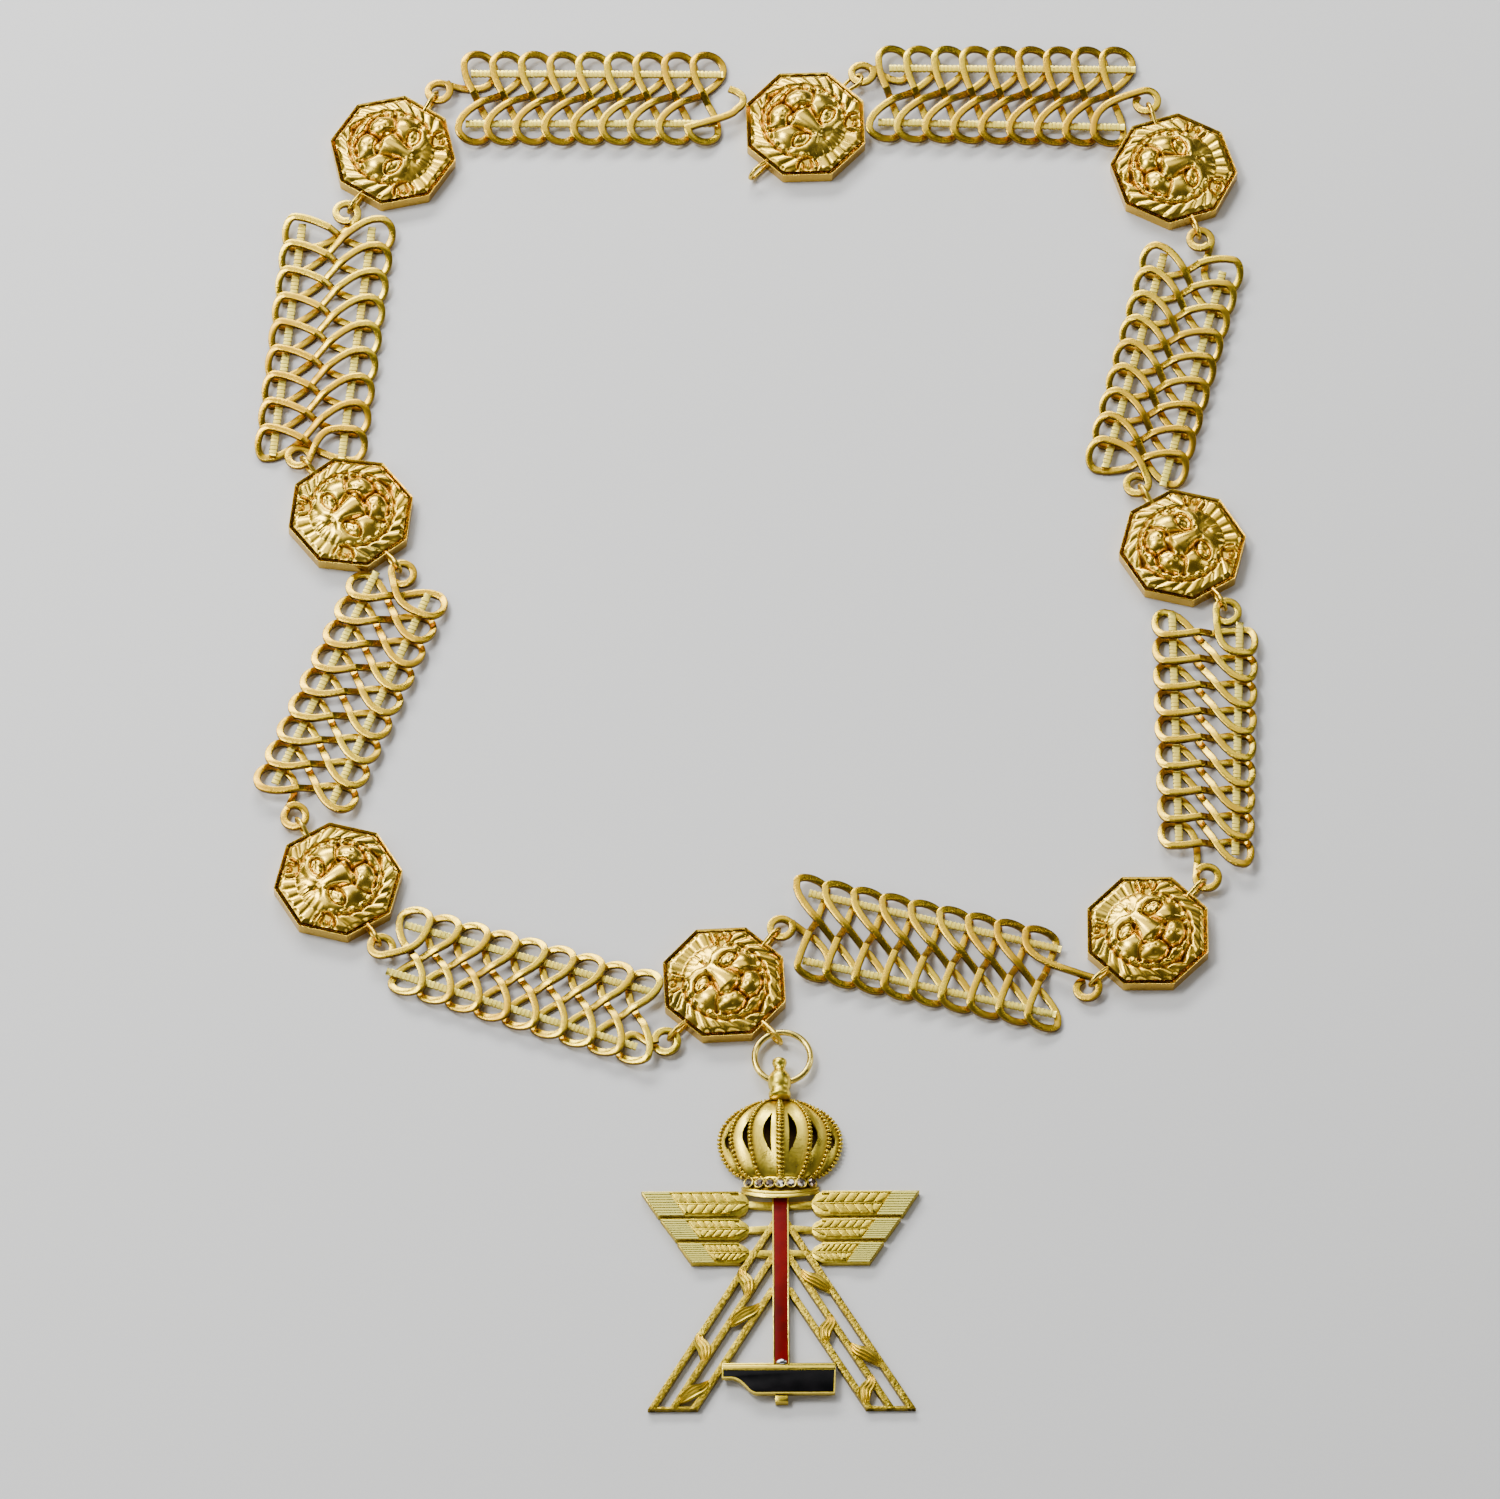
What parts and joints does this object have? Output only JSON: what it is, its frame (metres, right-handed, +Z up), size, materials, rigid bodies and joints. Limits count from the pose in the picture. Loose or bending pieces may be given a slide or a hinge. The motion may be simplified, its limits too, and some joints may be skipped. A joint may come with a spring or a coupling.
{
  "type": "chain of office",
  "caption": "Flat-lying ceremonial collar: lion medallions linked by woven wire panels, closed round the neck, with a crowned pendant of wheat ears and a hammer.",
  "frame": {"origin": "middle of the whole chain in plan, on the surface that it lies on", "axes": "+Z up from the surface, +Y from the pendant towards the clasp, +X to the right as the lions face up"},
  "size_m": [0.303, 0.4638, 0.009],
  "materials": {
    "gilt_cast": "cast relief, satin gilding with red-brown tone in the hollows",
    "gilt_wire": "drawn flat wire, bright gilding worn on the edges",
    "gilt_bar": "bright gilding, finely notched",
    "gilt_smooth": "smooth polished gilding",
    "gilt_pendant": "satin cast gilding with polished edges",
    "red_enamel": "glossy enamel",
    "black_enamel": "glossy enamel",
    "paste_stone": "faceted and polished"
  },
  "bodies": {
    "root": {"medallion_1": "gilt_cast", "medallion_2": "gilt_cast", "medallion_3": "gilt_cast", "medallion_4": "gilt_cast", "medallion_5": "gilt_cast", "medallion_6": "gilt_cast", "medallion_7": "gilt_cast", "medallion_8": "gilt_cast", "weave_1": "gilt_wire", "bar_1_left": "gilt_bar", "bar_1_right": "gilt_bar", "weave_2": "gilt_wire", "bar_2_left": "gilt_bar", "bar_2_right": "gilt_bar", "weave_3": "gilt_wire", "bar_3_left": "gilt_bar", "bar_3_right": "gilt_bar", "weave_4": "gilt_wire", "bar_4_left": "gilt_bar", "bar_4_right": "gilt_bar", "weave_5": "gilt_wire", "bar_5_left": "gilt_bar", "bar_5_right": "gilt_bar", "weave_6": "gilt_wire", "bar_6_left": "gilt_bar", "bar_6_right": "gilt_bar", "weave_7": "gilt_wire", "bar_7_left": "gilt_bar", "bar_7_right": "gilt_bar", "weave_8": "gilt_wire", "bar_8_left": "gilt_bar", "bar_8_right": "gilt_bar", "pendant_body": "gilt_pendant", "pendant_ring": "gilt_smooth", "handle_enamel": "red_enamel", "head_enamel": "black_enamel", "crown_stone_1": "paste_stone", "crown_stone_2": "paste_stone", "crown_stone_3": "paste_stone", "crown_stone_4": "paste_stone", "crown_stone_5": "paste_stone", "crown_stone_6": "paste_stone", "crown_stone_7": "paste_stone"}
  },
  "joints": []
}
